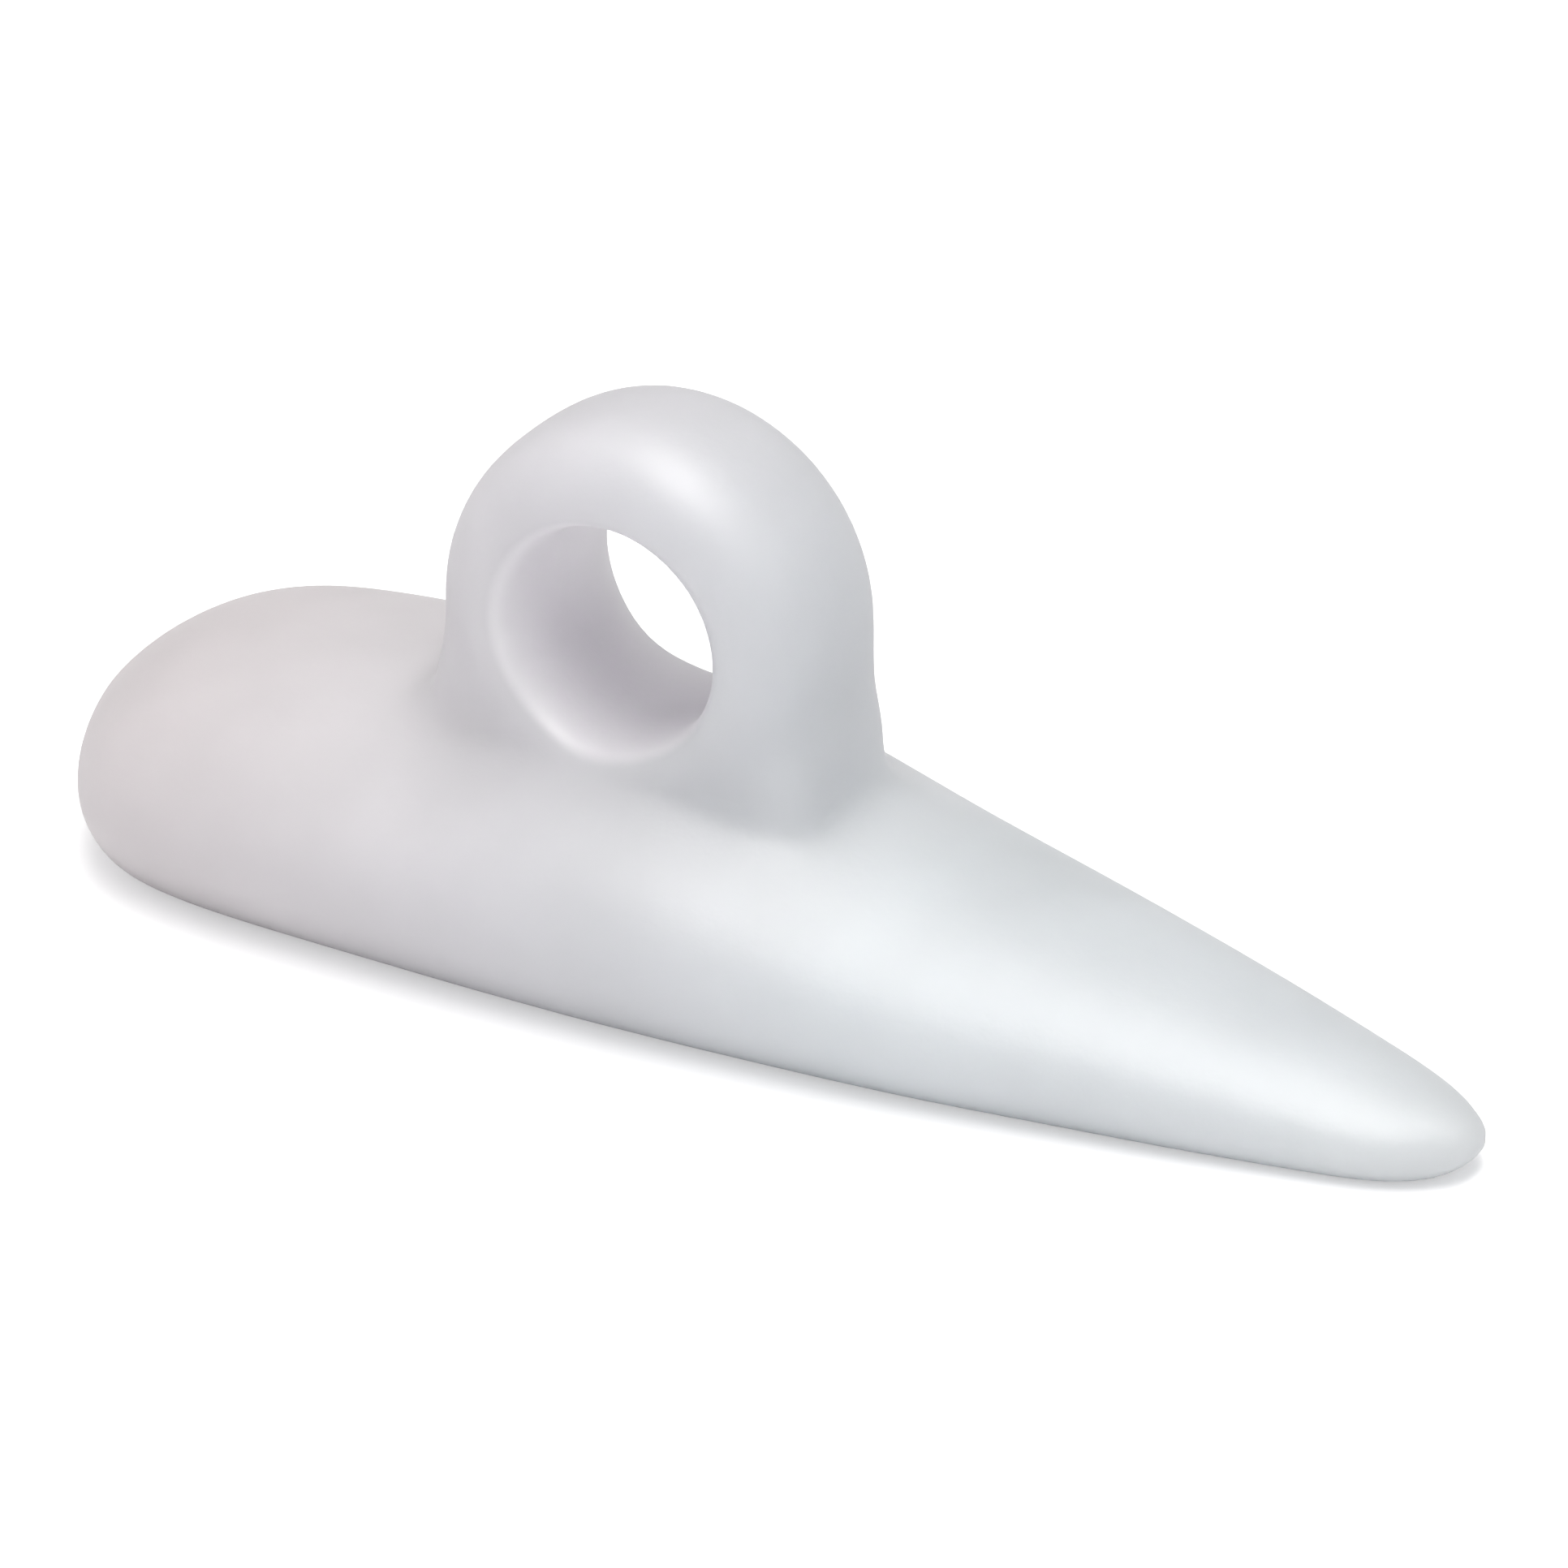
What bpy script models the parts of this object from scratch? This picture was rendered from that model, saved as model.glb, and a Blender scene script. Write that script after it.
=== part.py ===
"""Hammer toe cushion: one moulded gel piece, a tapering crest pad that carries an upright toe ring.

The pad lies along X with its thick end at -X and rests on the plane z = 0. The toe goes through the
ring along Y. The smooth skin passes through the points worked out below, because the control cage of
the Subdivision Surface modifier is solved from them.
"""
import math

import bmesh
import bpy
import numpy as np
from mathutils import Matrix

# Crest pad, in metres
PAD_LENGTH = 0.0840
PAD_WIDTH = 0.0284
PAD_HEIGHT = 0.0132

# Toe ring, in metres
BORE_DIAMETER = 0.0125
RING_WALL = 0.0045
RING_BAND = 0.0118
RING_FROM_THICK_END = 0.0341
BORE_FLOOR_OVER_PAD = 0.0002
RING_CROWN = 0.0004
RING_EDGE_ROUND = 0.0021
BORE_LIP_ROUND = 0.0007
FOOT_FILLET = 0.0017
RING_YAW = math.radians(2.0)

# Cross-section of the pad, as shares of its half width and of its height
FLAT_BASE = 0.64
SIDE_LEVEL = 0.38
FLANK_POWER = 1.8
UPPER_FLANK = 0.86
SHOULDER = 0.48

# Sections of the pad from its thick end to its nose. along is the share of the stretch that the section
# lies in: from the thick end to the ring's foot, or from the foot to the nose. The rows marked "foot"
# stand evenly under the ring. The others are shares of the pad's width, height, height and width;
# lift is how far the underside has curved up off the floor.
SECTIONS = (
    # along, width, height, lift, sideways
    (0.060, 0.420, 0.480, 0.130, 0.000),
    (0.237, 0.805, 0.825, 0.020, 0.000),
    (0.500, 0.965, 0.930, 0.000, 0.000),
    (0.765, 1.000, 0.970, 0.000, 0.000),
    ("foot", 0.990, 0.995, 0.000, -0.003),
    ("foot", 0.965, 1.000, 0.000, -0.008),
    ("foot", 0.920, 0.965, 0.000, -0.010),
    ("foot", 0.840, 0.820, 0.000, -0.010),
    (0.220, 0.745, 0.690, 0.000, -0.008),
    (0.410, 0.635, 0.600, 0.000, -0.004),
    (0.600, 0.520, 0.500, 0.000, 0.000),
    (0.777, 0.400, 0.390, 0.000, 0.007),
    (0.900, 0.300, 0.300, 0.004, 0.012),
    (0.969, 0.170, 0.200, 0.040, 0.016),
)
FIRST_FOOT_ROW = 4
FOOT_ROWS = 4
CAP_DOME = 0.9
CAP_SIDE_DOME = 0.7

RING_STEPS = 16
INNER_SHARE = 0.25
OUTER_SHARE = 0.75
FOOT_ANGLE = math.radians(56.25)
FOOT_CORNER = 0.74
FOOT_SPREAD = 0.6
SILL_FLARE = 0.0004
SILL_RISE = 0.0005
ROUNDING = 1e-4
SKIN_LEVELS = 2
SKIN_FITS = 3

RING_X = RING_FROM_THICK_END - PAD_LENGTH / 2
BORE_RADIUS = BORE_DIAMETER / 2
RING_RADIUS = BORE_RADIUS + RING_WALL
BORE_HEIGHT = PAD_HEIGHT + BORE_FLOOR_OVER_PAD + BORE_RADIUS
FOOT_REACH = RING_RADIUS + FOOT_FILLET
FOOT_DEPTH = RING_BAND / 2 + FOOT_FILLET


def clear_scene():
    for old in list(bpy.data.objects):
        bpy.data.objects.remove(old, do_unlink=True)


def upper_outline(across):
    """Height share of the pad's crowned upper side at a share of its half width."""
    return SIDE_LEVEL + (1 - SIDE_LEVEL) * math.sqrt(max(0.0, 1 - across * across))


def lower_outline(across):
    """Height share of the rounded lower flank, which leaves the floor at the flat base's edge."""
    rise = max(0.0, (across - FLAT_BASE) / (1 - FLAT_BASE))
    return SIDE_LEVEL * (1 - math.sqrt(max(0.0, 1 - rise ** FLANK_POWER)))


def unit_section(column, row):
    """Across and up shares of one point of the 4 by 3 grid that a cross-section starts from."""
    side = math.copysign(1.0, column) if column else 0.0
    if row == 0:
        return side * FLAT_BASE * abs(column) / 2, 0.0
    if row == 3:
        across = {0: 0.0, 1: SHOULDER, 2: UPPER_FLANK}[abs(column)]
        return side * across, upper_outline(across)
    if abs(column) == 2:
        across = 0.5 * (1 + FLAT_BASE) if row == 1 else 1.0
        return side * across, lower_outline(across) if row == 1 else SIDE_LEVEL
    return side * 0.5, row / 3


def extrude_pad(mesh):
    """The pad's cage, a grid extruded section by section, held as (section, column, row) numbers."""
    grid = bmesh.ops.create_grid(mesh, x_segments=4, y_segments=3, size=1.0)
    for vert in grid["verts"]:
        vert.co = (0, round(vert.co.x * 2), round((vert.co.y + 1) * 1.5))
    faces = mesh.faces[:]
    for number in range(1, len(SECTIONS)):
        grown = bmesh.ops.extrude_face_region(mesh, geom=faces)["geom"]
        if number > 1:
            bmesh.ops.delete(mesh, geom=faces, context="FACES")
        faces = [item for item in grown if isinstance(item, bmesh.types.BMFace)]
        moved = {vert for face in faces for vert in face.verts}
        bmesh.ops.translate(mesh, verts=list(moved), vec=(1, 0, 0))


def in_foot(number):
    return FIRST_FOOT_ROW <= number < FIRST_FOOT_ROW + FOOT_ROWS


def open_foot(mesh):
    """Takes away the crown between the shoulders, where the ring will grow out of the pad."""
    covered = [face for face in mesh.faces
               if all(in_foot(round(vert.co.x)) and abs(round(vert.co.y)) < 2 and round(vert.co.z) == 3
                      for vert in face.verts)]
    bmesh.ops.delete(mesh, geom=covered, context="FACES")


def section_place(number):
    """Length position of a section; the rows follow the ring when it moves along the pad."""
    along = SECTIONS[number][0]
    if in_foot(number):
        share = 2 * (number - FIRST_FOOT_ROW) / (FOOT_ROWS - 1) - 1
        return RING_X + share * FOOT_REACH
    if number < FIRST_FOOT_ROW:
        start, end = -PAD_LENGTH / 2, RING_X - FOOT_REACH
    else:
        start, end = RING_X + FOOT_REACH, PAD_LENGTH / 2
    return start + along * (end - start)


def pad_point(number, column, row):
    """Place of one cage point of the pad; beside the ring the shoulder lines carry its fillets."""
    _, width, height, lift, sideways = SECTIONS[number]
    half_width = width * PAD_WIDTH / 2
    across, up = unit_section(column, row)
    if in_foot(number) and row == 3 and abs(column) == 1:
        corner = number in (FIRST_FOOT_ROW, FIRST_FOOT_ROW + FOOT_ROWS - 1)
        depth = FOOT_DEPTH * (FOOT_CORNER if corner else 1.0)
        across = math.copysign(depth / half_width, column)
        up = upper_outline(across)
    place = section_place(number)
    if abs(column) < 2 and 0 < row < 3:
        end = math.copysign(PAD_LENGTH / 2, place)
        place += (end - place) * (CAP_DOME if column == 0 else CAP_SIDE_DOME)
    return (place, across * half_width + sideways * PAD_WIDTH,
            (lift + up * height) * PAD_HEIGHT)


def shape_pad(mesh):
    """Moves every numbered point to its place and creases the flat base's edges."""
    crease = mesh.edges.layers.float.new("crease_edge")
    for edge in mesh.edges:
        ends = [tuple(round(part) for part in vert.co) for vert in edge.verts]
        along_base = all(abs(column) == 2 and row == 0 for _, column, row in ends)
        grounded = all(SECTIONS[number][3] == 0 for number, _, _ in ends)
        edge[crease] = 1.0 if along_base and grounded else 0.0
    for vert in mesh.verts:
        vert.co = pad_point(*(round(part) for part in vert.co))


def ring_profile():
    """The band's cross-section as (distance from the bore's axis, place along it), front to back."""
    half = RING_BAND / 2
    mid = (BORE_RADIUS + RING_RADIUS) / 2
    lip = half - BORE_LIP_ROUND
    edge = half - RING_EDGE_ROUND
    front = ((BORE_RADIUS, 0.0), (BORE_RADIUS, -lip), (mid, -half), (RING_RADIUS, -edge))
    back = ((RING_RADIUS, edge), (mid, half), (BORE_RADIUS, lip))
    return front + ((RING_RADIUS, 0.0),) + back


def pad_top(along_pad, along_bore):
    """Height of the pad's crown at a place below the ring, between the sections on either side."""
    numbers = range(FIRST_FOOT_ROW, FIRST_FOOT_ROW + FOOT_ROWS)
    places = [section_place(number) for number in numbers]
    width = np.interp(along_pad, places, [SECTIONS[number][1] for number in numbers])
    height = np.interp(along_pad, places, [SECTIONS[number][2] for number in numbers])
    return PAD_HEIGHT * height * upper_outline(along_bore / (width * PAD_WIDTH / 2))


def leg_point(angle, along_bore):
    """Outer side of the ring: round above the bore's axis, straight legs to a foot on the pad.

    The middle of the band is crowned a little above its edges.
    """
    reach = RING_RADIUS if along_bore else RING_RADIUS + RING_CROWN
    across, up = reach * math.cos(angle), reach * math.sin(angle)
    if up >= 0:
        return across, along_bore, up
    below = math.asin(-math.sin(angle))
    if below <= FOOT_ANGLE + ROUNDING:
        lower = min(1.0, below / FOOT_ANGLE)
        side = math.copysign(reach, across)
        spread = math.copysign(FOOT_SPREAD * RING_EDGE_ROUND * lower ** 3, along_bore) if along_bore else 0.0
        foot = pad_top(RING_X + side, along_bore + spread) + FOOT_FILLET - BORE_HEIGHT
        return side, along_bore + spread, foot * lower
    side = across / math.cos(FOOT_ANGLE)
    flare = math.copysign(RING_BAND / 2 + SILL_FLARE, along_bore)
    return side, flare, pad_top(RING_X + side, flare) + SILL_RISE - BORE_HEIGHT


def ring_point(across, along_bore, up):
    """Moves a point of the spun band to its place on the ring, measured from the bore's middle."""
    reach = math.hypot(across, up)
    angle = math.atan2(up, across)
    wall_share = (reach - BORE_RADIUS) / RING_WALL
    bore = (BORE_RADIUS * math.cos(angle), along_bore, BORE_RADIUS * math.sin(angle))
    if wall_share < INNER_SHARE:
        return bore
    edge = math.copysign(RING_BAND / 2 - RING_EDGE_ROUND, along_bore)
    leg = leg_point(angle, along_bore if wall_share > OUTER_SHARE else edge)
    if wall_share > OUTER_SHARE:
        return leg
    return (bore[0] + leg[0]) / 2, along_bore, (bore[2] + leg[2]) / 2


def spin_ring(mesh):
    """The ring: its band's profile spun about the bore, opened below and given straight legs."""
    before = set(mesh.verts)
    start = -math.pi / 2 + math.pi / RING_STEPS
    profile = [mesh.verts.new((reach * math.cos(start), along, reach * math.sin(start)))
               for reach, along in ring_profile()]
    edges = [mesh.edges.new(pair) for pair in zip(profile, profile[1:] + profile[:1])]
    bmesh.ops.spin(mesh, geom=profile + edges, cent=(0, 0, 0), axis=(0, 1, 0), angle=2 * math.pi,
                   steps=RING_STEPS, use_merge=True, use_duplicate=False)
    ring = [vert for vert in mesh.verts if vert not in before]
    outer = BORE_RADIUS + OUTER_SHARE * RING_WALL
    lowest = ROUNDING * RING_RADIUS - RING_RADIUS * math.sin(FOOT_ANGLE)
    covered = {face for vert in ring for face in vert.link_faces
               if all(math.hypot(corner.co.x, corner.co.z) > outer and corner.co.z < lowest
                      for corner in face.verts)}
    bmesh.ops.delete(mesh, geom=list(covered), context="FACES")
    return [vert for vert in ring if vert.is_valid]


def shape_ring(mesh, ring):
    """Gives the ring its legs, turns it to the toe and sets it on the pad."""
    for vert in ring:
        vert.co = ring_point(*vert.co)
    bmesh.ops.rotate(mesh, verts=ring, cent=(0, 0, 0), matrix=Matrix.Rotation(RING_YAW, 3, "Z"))
    bmesh.ops.translate(mesh, verts=ring, vec=(RING_X, 0, BORE_HEIGHT))


def join_foot(mesh):
    """Bridges the ring's open underside to the opening in the pad's crown, the fillet between them."""
    rims = [edge for edge in mesh.edges if edge.is_boundary]
    bmesh.ops.bridge_loops(mesh, edges=rims)


def limit_weights(mesh):
    """Matrix from the cage to where its points come to lie on the subdivided skin."""
    crease = mesh.edges.layers.float["crease_edge"]
    weights = np.zeros((len(mesh.verts), len(mesh.verts)))
    for vert in mesh.verts:
        sharp = [edge.other_vert(vert) for edge in vert.link_edges if edge[crease] > 0]
        if len(sharp) == 2:
            weights[vert.index, vert.index] = 4 / 6
            for other in sharp:
                weights[vert.index, other.index] = 1 / 6
            continue
        valence = len(vert.link_edges)
        unit = 1 / (valence * (valence + 5))
        weights[vert.index, vert.index] = valence * valence * unit
        for edge in vert.link_edges:
            weights[vert.index, edge.other_vert(vert).index] += 4 * unit
        for loop in vert.link_loops:
            weights[vert.index, loop.link_loop_next.link_loop_next.vert.index] += unit
    return weights


def solve_cage(mesh):
    """Moves the cage outwards, so that the smooth skin comes to the points given so far.

    No point goes under the floor, which keeps the base flat.
    """
    mesh.verts.index_update()
    points = np.array([vert.co for vert in mesh.verts], dtype=float)
    weights = limit_weights(mesh)
    cage = points.copy()
    for _ in range(SKIN_FITS):
        cage += points - weights @ cage
        cage[:, 2] = np.maximum(cage[:, 2], 0.0)
    for vert, place in zip(mesh.verts, cage):
        vert.co = place


def gel_material():
    material = bpy.data.materials.new("milky_gel")
    material.use_nodes = True
    shader = material.node_tree.nodes["Principled BSDF"]
    shader.inputs["Base Color"].default_value = (0.83, 0.83, 0.86, 1.0)
    shader.inputs["Roughness"].default_value = 0.42
    shader.inputs["Metallic"].default_value = 0.0
    return material


def build_cushion():
    mesh = bmesh.new()
    extrude_pad(mesh)
    open_foot(mesh)
    shape_pad(mesh)
    ring = spin_ring(mesh)
    shape_ring(mesh, ring)
    join_foot(mesh)
    bmesh.ops.recalc_face_normals(mesh, faces=mesh.faces)
    solve_cage(mesh)
    data = bpy.data.meshes.new("toe_cushion")
    mesh.to_mesh(data)
    mesh.free()
    data.shade_smooth()
    data.materials.append(gel_material())
    cushion = bpy.data.objects.new("toe_cushion", data)
    bpy.context.scene.collection.objects.link(cushion)
    skin = cushion.modifiers.new("smooth_skin", "SUBSURF")
    skin.levels = SKIN_LEVELS
    skin.render_levels = SKIN_LEVELS
    skin.use_limit_surface = True
    return cushion


clear_scene()
build_cushion()
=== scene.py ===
import math

import bmesh
import bpy
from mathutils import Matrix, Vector


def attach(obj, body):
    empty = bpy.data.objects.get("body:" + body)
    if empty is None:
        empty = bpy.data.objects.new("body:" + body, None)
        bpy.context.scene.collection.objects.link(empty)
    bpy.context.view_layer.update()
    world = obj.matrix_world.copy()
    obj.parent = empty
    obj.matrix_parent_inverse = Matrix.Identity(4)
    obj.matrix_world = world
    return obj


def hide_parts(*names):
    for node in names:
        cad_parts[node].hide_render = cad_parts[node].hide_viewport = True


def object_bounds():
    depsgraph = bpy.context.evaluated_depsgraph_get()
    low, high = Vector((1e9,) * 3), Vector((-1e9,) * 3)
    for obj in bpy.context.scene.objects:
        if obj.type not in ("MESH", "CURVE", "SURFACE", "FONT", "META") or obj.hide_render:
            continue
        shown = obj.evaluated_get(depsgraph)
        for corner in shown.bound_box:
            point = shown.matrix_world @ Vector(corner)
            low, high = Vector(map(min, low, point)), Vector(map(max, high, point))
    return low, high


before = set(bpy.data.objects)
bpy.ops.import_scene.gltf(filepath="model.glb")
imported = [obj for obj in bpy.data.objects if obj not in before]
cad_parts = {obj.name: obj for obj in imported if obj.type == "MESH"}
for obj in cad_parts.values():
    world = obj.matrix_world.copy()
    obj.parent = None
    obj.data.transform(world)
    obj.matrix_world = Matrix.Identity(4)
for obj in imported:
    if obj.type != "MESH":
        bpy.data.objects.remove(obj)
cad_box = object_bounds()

# The cushion's body, a crest pad and its toe ring cast as one piece of soft, oil-filled gel.
# The mould has no sharp edge in it, so every edge of the casting is round and its skin runs on smoothly.
# It starts as a copy of the plain solid, and a fine remesh and smoothing take off that solid's facets.
SAME_POINT = 1e-6
SKIN_VOXEL = 0.00042
SKIN_SMOOTHING_ROUNDS = 14
SKIN_SMOOTHING = 0.5

cushion_data = bpy.data.meshes.new("gel_cushion")
cushion = bpy.data.objects.new("gel_cushion", cushion_data)
bpy.context.scene.collection.objects.link(cushion)
casting = bmesh.new()
casting.from_mesh(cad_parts["toe_cushion"].data)
bmesh.ops.remove_doubles(casting, verts=casting.verts, dist=SAME_POINT)
casting.to_mesh(cushion_data)
casting.free()


def apply_modifiers(piece):
    """Gives a piece the mesh that its modifiers make, and takes the modifiers off."""
    bpy.context.view_layer.update()
    shown = piece.evaluated_get(bpy.context.evaluated_depsgraph_get())
    finished = bpy.data.meshes.new_from_object(shown)
    piece.modifiers.clear()
    piece.data = finished


refine = cushion.modifiers.new("fine_skin", "REMESH")
refine.mode = "VOXEL"
refine.voxel_size = SKIN_VOXEL
apply_modifiers(cushion)

skin = bmesh.new()
skin.from_mesh(cushion.data)
for _ in range(SKIN_SMOOTHING_ROUNDS):
    bmesh.ops.smooth_vert(skin, verts=skin.verts, factor=SKIN_SMOOTHING, use_axis_x=True,
                          use_axis_y=True, use_axis_z=True)
skin.to_mesh(cushion.data)
skin.free()
cushion.data.shade_smooth()

# The gel itself is milky and translucent, with a satin skin. Its tint runs from faintly rosy at the thick
# end to faintly blue at the nose, and it is a little cloudy inside, as gel that has been cast in one pour.
# The bore's wall is painted paler than the rest. This is painted light, standing in for the light the gel
# lets through into the shaded bore.
GEL_ROSY = (0.735, 0.682, 0.690, 1.0)
GEL_MILKY = (0.708, 0.700, 0.728, 1.0)
GEL_BLUE = (0.705, 0.740, 0.765, 1.0)
GEL_TINT_STOPS = ((0.0, GEL_ROSY), (0.36, GEL_MILKY), (0.62, GEL_BLUE), (1.0, GEL_BLUE))
SATIN_ROUGHNESS = 0.48
SKIN_SHEEN_LEVEL = 1.0
OILY_FILM = 0.5
OILY_FILM_ROUGHNESS = 0.55
LIGHT_DEPTH = 0.006
LIGHT_DEPTH_BY_COLOUR = (1.0, 0.95, 1.0)
# The paler colour painted on the bore's wall as painted light in the shaded bore.
BORE_PAINTED_LIGHT = (0.88, 0.865, 0.895, 1.0)
BORE_AXIS = (-0.0079, 0.0, 0.0196)
BORE_WALL_RADIUS = 0.0063
BORE_BLEND = 0.0006
CLOUD_SIZE = 0.011
CLOUD_DEPTH = 0.09
CLOUD_DETAIL = 2.5
CLOUD_ROUGHNESS = 0.5
CLOUD_DARKEST_AT = 0.3
CLOUD_CLEAR_AT = 0.7
SKIN_GRAIN = 0.0007
SKIN_GRAIN_DEPTH = 0.00002
SKIN_GRAIN_DETAIL = 2.0

gel = bpy.data.materials.new("milky_gel")
gel.use_nodes = True
nodes = gel.node_tree.nodes
links = gel.node_tree.links
gel_shader = nodes["Principled BSDF"]
gel_shader.inputs["Roughness"].default_value = SATIN_ROUGHNESS
gel_shader.inputs["Subsurface Weight"].default_value = 1.0
gel_shader.inputs["Subsurface Radius"].default_value = LIGHT_DEPTH_BY_COLOUR
gel_shader.inputs["Subsurface Scale"].default_value = LIGHT_DEPTH
gel_shader.inputs["Specular IOR Level"].default_value = SKIN_SHEEN_LEVEL
gel_shader.inputs["Coat Weight"].default_value = OILY_FILM
gel_shader.inputs["Coat Roughness"].default_value = OILY_FILM_ROUGHNESS

place = nodes.new("ShaderNodeTexCoord")
along = nodes.new("ShaderNodeSeparateXYZ")
links.new(place.outputs["Object"], along.inputs["Vector"])
share_along = nodes.new("ShaderNodeMapRange")
share_along.inputs["From Min"].default_value = cad_box[0][0]
share_along.inputs["From Max"].default_value = cad_box[1][0]
links.new(along.outputs["X"], share_along.inputs["Value"])
tint = nodes.new("ShaderNodeValToRGB")
while len(tint.color_ramp.elements) < len(GEL_TINT_STOPS):
    tint.color_ramp.elements.new(0.5)
for stop, (position, colour) in zip(tint.color_ramp.elements, GEL_TINT_STOPS):
    stop.position = position
    stop.color = colour
links.new(share_along.outputs["Result"], tint.inputs["Fac"])

# The distance from the bore's axis, which tells its wall from the ring's faces, so that the wall alone gets
# its painted light.
from_axis = nodes.new("ShaderNodeVectorMath")
from_axis.operation = "SUBTRACT"
from_axis.inputs[1].default_value = BORE_AXIS
links.new(place.outputs["Object"], from_axis.inputs[0])
in_plane = nodes.new("ShaderNodeVectorMath")
in_plane.operation = "MULTIPLY"
in_plane.inputs[1].default_value = (1, 0, 1)
links.new(from_axis.outputs["Vector"], in_plane.inputs[0])
axis_distance = nodes.new("ShaderNodeVectorMath")
axis_distance.operation = "LENGTH"
links.new(in_plane.outputs["Vector"], axis_distance.inputs[0])
bore_light_share = nodes.new("ShaderNodeMapRange")
bore_light_share.interpolation_type = "SMOOTHSTEP"
bore_light_share.inputs["From Min"].default_value = BORE_WALL_RADIUS
bore_light_share.inputs["From Max"].default_value = BORE_WALL_RADIUS + BORE_BLEND
bore_light_share.inputs["To Min"].default_value = 1.0
bore_light_share.inputs["To Max"].default_value = 0.0
links.new(axis_distance.outputs["Value"], bore_light_share.inputs["Value"])
# The bore's wall is mixed towards the paler colour, which is painted light and not the gel's own colour.
with_bore_light = nodes.new("ShaderNodeMix")
with_bore_light.data_type = "RGBA"
with_bore_light.inputs["B"].default_value = BORE_PAINTED_LIGHT
links.new(bore_light_share.outputs["Result"], with_bore_light.inputs["Factor"])
links.new(tint.outputs["Color"], with_bore_light.inputs["A"])

cloud = nodes.new("ShaderNodeTexNoise")
cloud.inputs["Scale"].default_value = 1 / CLOUD_SIZE
cloud.inputs["Detail"].default_value = CLOUD_DETAIL
cloud.inputs["Roughness"].default_value = CLOUD_ROUGHNESS
links.new(place.outputs["Object"], cloud.inputs["Vector"])
cloud_tone = nodes.new("ShaderNodeMapRange")
cloud_tone.inputs["From Min"].default_value = CLOUD_DARKEST_AT
cloud_tone.inputs["From Max"].default_value = CLOUD_CLEAR_AT
cloud_tone.inputs["To Min"].default_value = 1 - CLOUD_DEPTH
cloud_tone.inputs["To Max"].default_value = 1.0
links.new(cloud.outputs["Fac"], cloud_tone.inputs["Value"])
clouded = nodes.new("ShaderNodeMix")
clouded.data_type = "RGBA"
clouded.blend_type = "MULTIPLY"
clouded.inputs["Factor"].default_value = 1.0
links.new(with_bore_light.outputs["Result"], clouded.inputs["A"])
links.new(cloud_tone.outputs["Result"], clouded.inputs["B"])
links.new(clouded.outputs["Result"], gel_shader.inputs["Base Color"])

grain = nodes.new("ShaderNodeTexNoise")
grain.inputs["Scale"].default_value = 1 / SKIN_GRAIN
grain.inputs["Detail"].default_value = SKIN_GRAIN_DETAIL
links.new(place.outputs["Object"], grain.inputs["Vector"])
skin_bump = nodes.new("ShaderNodeBump")
skin_bump.inputs["Distance"].default_value = SKIN_GRAIN_DEPTH
links.new(grain.outputs["Fac"], skin_bump.inputs["Height"])
links.new(skin_bump.outputs["Normal"], gel_shader.inputs["Normal"])
cushion.data.materials.clear()
cushion.data.materials.append(gel)

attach(cushion, "root")
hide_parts("toe_cushion")

# The floor is a plain sheet of matt card. It looks as white as a light table to the camera, and it
# throws only a moderate light up at the cushion, so that the gel's shaded sides keep their tone.
FLOOR_SIZE = 3.0
FLOOR_BOUNCE = (0.86, 0.86, 0.87, 1.0)
FLOOR_ROUGHNESS = 0.9
FLOOR_SHEEN_LEVEL = 0.1
FLOOR_GLOW = 0.42

floor_mesh = bmesh.new()
bmesh.ops.create_grid(floor_mesh, x_segments=1, y_segments=1, size=FLOOR_SIZE / 2)
floor_data = bpy.data.meshes.new("white_floor")
floor_mesh.to_mesh(floor_data)
floor_mesh.free()
floor = bpy.data.objects.new("white_floor", floor_data)
bpy.context.scene.collection.objects.link(floor)
card = bpy.data.materials.new("white_card")
card.use_nodes = True
card_shader = card.node_tree.nodes["Principled BSDF"]
card_shader.inputs["Base Color"].default_value = FLOOR_BOUNCE
card_shader.inputs["Roughness"].default_value = FLOOR_ROUGHNESS
card_shader.inputs["Specular IOR Level"].default_value = FLOOR_SHEEN_LEVEL
card_shader.inputs["Emission Color"].default_value = (1, 1, 1, 1)
light_path = card.node_tree.nodes.new("ShaderNodeLightPath")
seen_glow = card.node_tree.nodes.new("ShaderNodeMath")
seen_glow.operation = "MULTIPLY"
seen_glow.inputs[1].default_value = FLOOR_GLOW
card.node_tree.links.new(light_path.outputs["Is Camera Ray"], seen_glow.inputs[0])
card.node_tree.links.new(seen_glow.outputs["Value"], card_shader.inputs["Emission Strength"])
floor_data.materials.append(card)

# The camera stands in front of the ring and towards the nose's side, and looks down at the cushion from
# nearly a metre away through a long lens. It is moved a little off the centre, as the picture's framing is.
VIEW_AZIMUTH = math.radians(33.13)
VIEW_ELEVATION = math.radians(26.85)
VIEW_DISTANCE = 0.8905
VIEW_CENTRE_HEIGHT = 0.005
SHIFT_LEFT = 0.000157
SHIFT_UP = 0.00561
LENS = 393
SENSOR = 36

look = Vector((-math.sin(VIEW_AZIMUTH) * math.cos(VIEW_ELEVATION),
               math.cos(VIEW_AZIMUTH) * math.cos(VIEW_ELEVATION),
               -math.sin(VIEW_ELEVATION)))
right = Vector((math.cos(VIEW_AZIMUTH), math.sin(VIEW_AZIMUTH), 0))
above = right.cross(look)
camera_data = bpy.data.cameras.new("camera")
camera_data.lens = LENS
camera_data.sensor_width = SENSOR
camera = bpy.data.objects.new("camera", camera_data)
camera.location = (Vector((0, 0, VIEW_CENTRE_HEIGHT)) - SHIFT_LEFT * right + SHIFT_UP * above
                   - VIEW_DISTANCE * look)
camera.rotation_euler = look.to_track_quat("-Z", "Y").to_euler()
bpy.context.scene.collection.objects.link(camera)
bpy.context.scene.camera = camera

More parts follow.
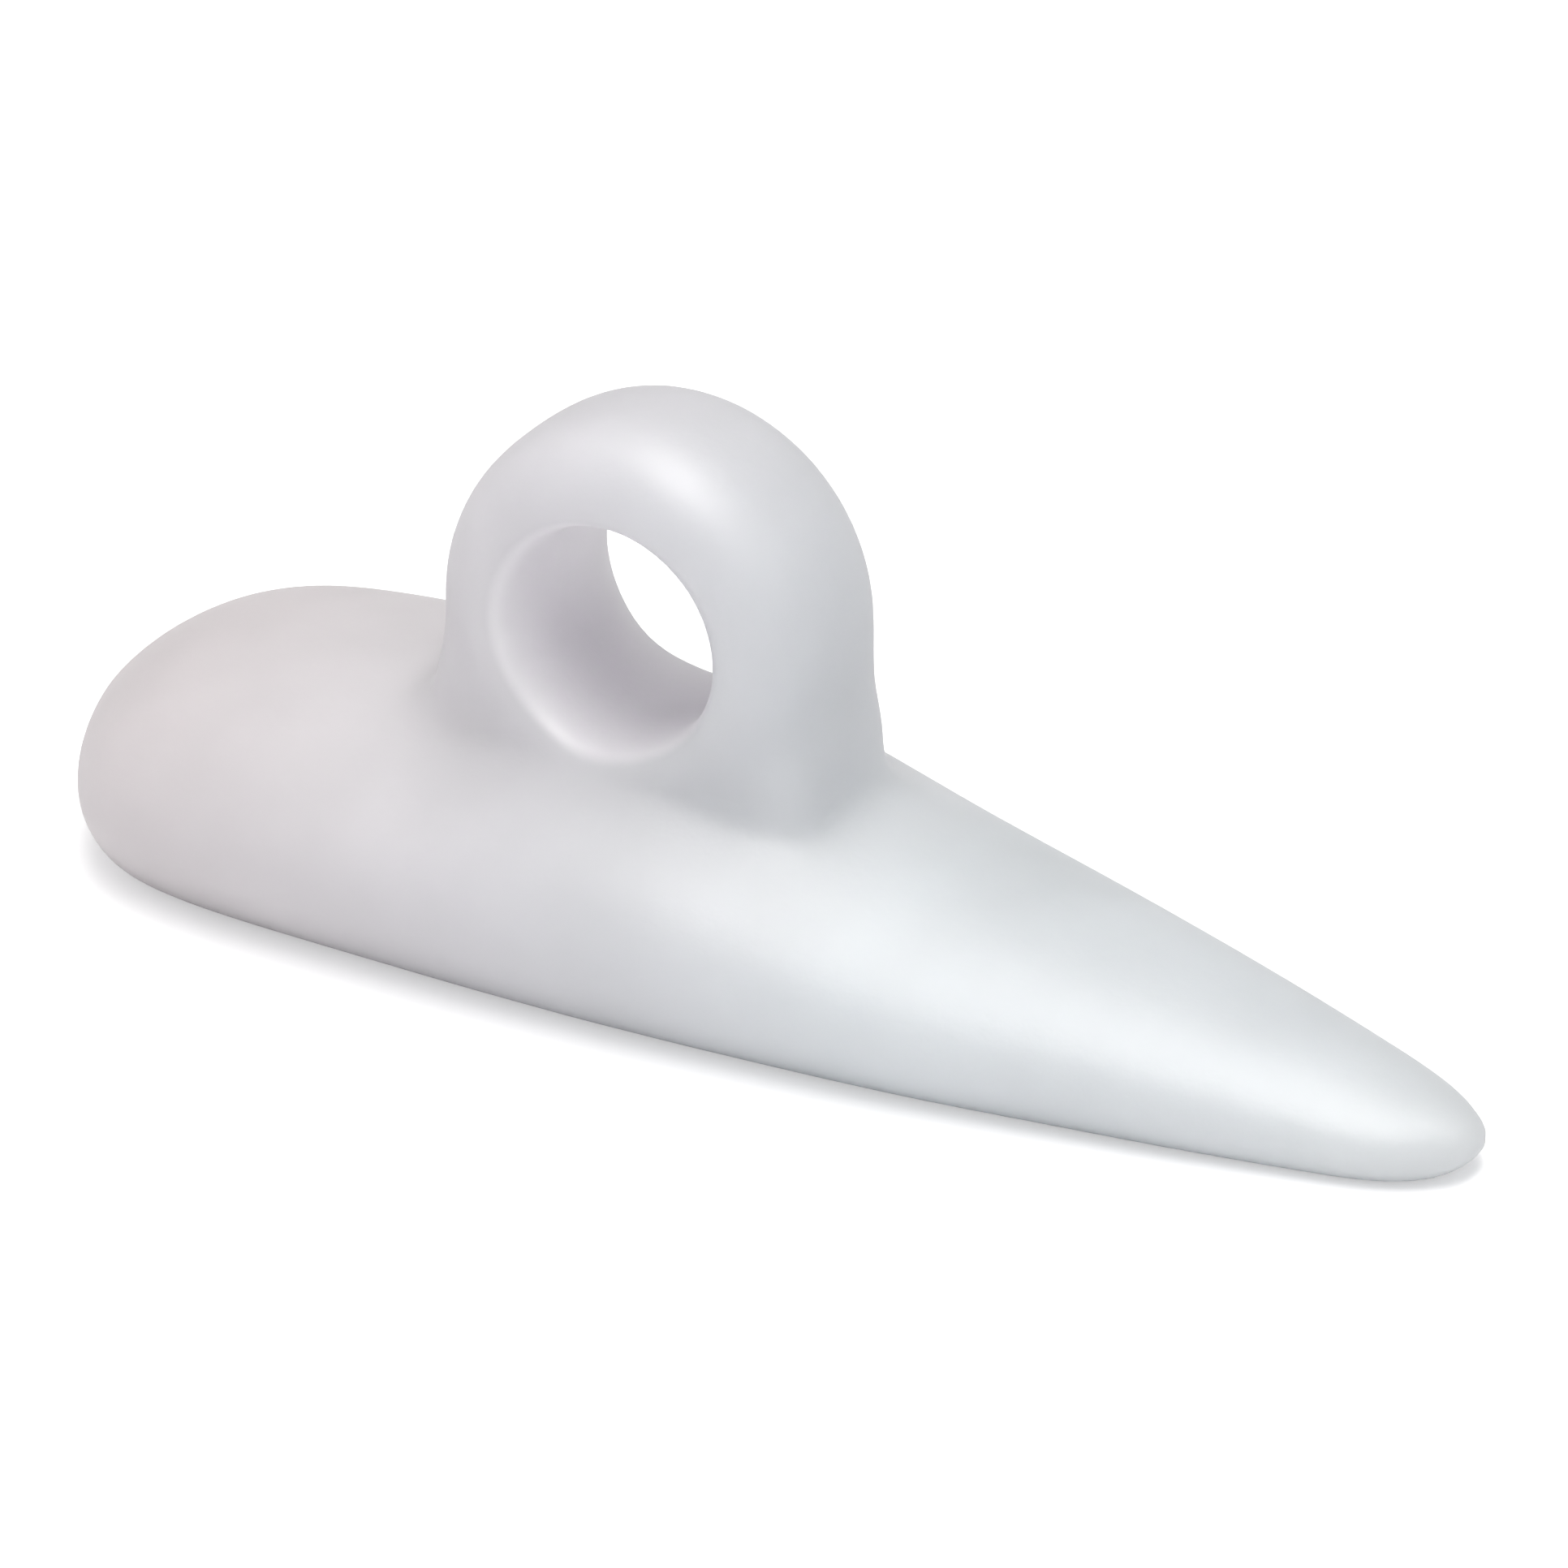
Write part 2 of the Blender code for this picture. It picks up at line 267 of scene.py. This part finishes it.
# The studio has a soft box overhead, whose soft reflection runs along the crown, and a fill light in front
# and to the nose's side. The pale surround is brighter at the front and towards the horizon, and the
# picture is shown as it is, without a film look.
SURROUND_COLOUR = (0.975, 0.98, 1.0, 1)
ZENITH_LIGHT = 0.40
HORIZON_LIGHT = 0.92
FRONT_SHARE = 0.84
BACK_SHARE = 0.40
LAMP_COLOUR = (1.0, 0.985, 0.962)
SOFT_LIGHTS = (
    # name, direction, distance, size, power
    ("overhead_box", (0.00, 0.12, 0.97), 0.80, 0.50, 2.9),
    ("front_fill", (0.16, -0.30, 0.92), 0.80, 0.40, 2.3),
)

world = bpy.data.worlds.new("studio")
world.use_nodes = True
world_nodes = world.node_tree.nodes
world_links = world.node_tree.links
direction = world_nodes.new("ShaderNodeTexCoord")
directions = world_nodes.new("ShaderNodeSeparateXYZ")
world_links.new(direction.outputs["Generated"], directions.inputs["Vector"])
height_light = world_nodes.new("ShaderNodeMapRange")
height_light.inputs["To Min"].default_value = HORIZON_LIGHT
height_light.inputs["To Max"].default_value = ZENITH_LIGHT
world_links.new(directions.outputs["Z"], height_light.inputs["Value"])
depth_share = world_nodes.new("ShaderNodeMapRange")
depth_share.inputs["From Min"].default_value = -1.0
depth_share.inputs["To Min"].default_value = FRONT_SHARE
depth_share.inputs["To Max"].default_value = BACK_SHARE
world_links.new(directions.outputs["Y"], depth_share.inputs["Value"])
surround = world_nodes.new("ShaderNodeMath")
surround.operation = "MULTIPLY"
world_links.new(height_light.outputs["Result"], surround.inputs[0])
world_links.new(depth_share.outputs["Result"], surround.inputs[1])
world_links.new(surround.outputs["Value"], world_nodes["Background"].inputs["Strength"])
world_nodes["Background"].inputs["Color"].default_value = SURROUND_COLOUR
bpy.context.scene.world = world

for name, towards, distance, size, power in SOFT_LIGHTS:
    lamp_data = bpy.data.lights.new(name, "AREA")
    lamp_data.size = size
    lamp_data.energy = power
    lamp_data.color = LAMP_COLOUR
    lamp = bpy.data.objects.new(name, lamp_data)
    lamp.location = Vector(towards).normalized() * distance
    lamp.rotation_euler = Vector(towards).to_track_quat("Z", "Y").to_euler()
    bpy.context.scene.collection.objects.link(lamp)
bpy.context.scene.view_settings.view_transform = "Standard"
